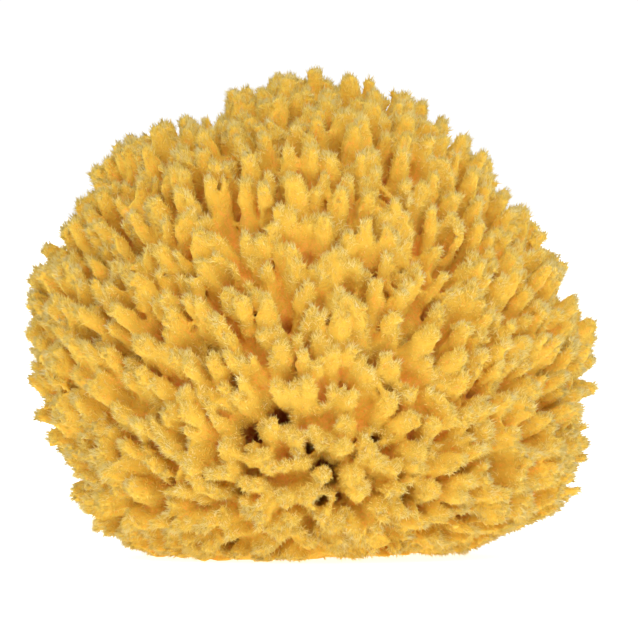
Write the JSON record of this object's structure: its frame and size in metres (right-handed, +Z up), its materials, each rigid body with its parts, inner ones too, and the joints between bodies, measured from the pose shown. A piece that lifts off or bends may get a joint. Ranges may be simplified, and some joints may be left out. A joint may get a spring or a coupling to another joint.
{
  "type": "sea sponge",
  "caption": "Dried wool-type bath sponge: a golden dome of tapered locks with deep furrows and open pores, cut off flat underneath so that it stands.",
  "frame": {"origin": "centre of the bounding box at the flat cut that the sponge stands on", "axes": "+Z up, +X along the widest way across, -Y towards the side that the picture shows"},
  "size_m": [0.16, 0.146, 0.136],
  "materials": {
    "sponge": "dry felted fibre, golden yellow with paler tips and red-brown pores"
  },
  "bodies": {
    "root": {"sponge": "sponge"}
  },
  "joints": []
}
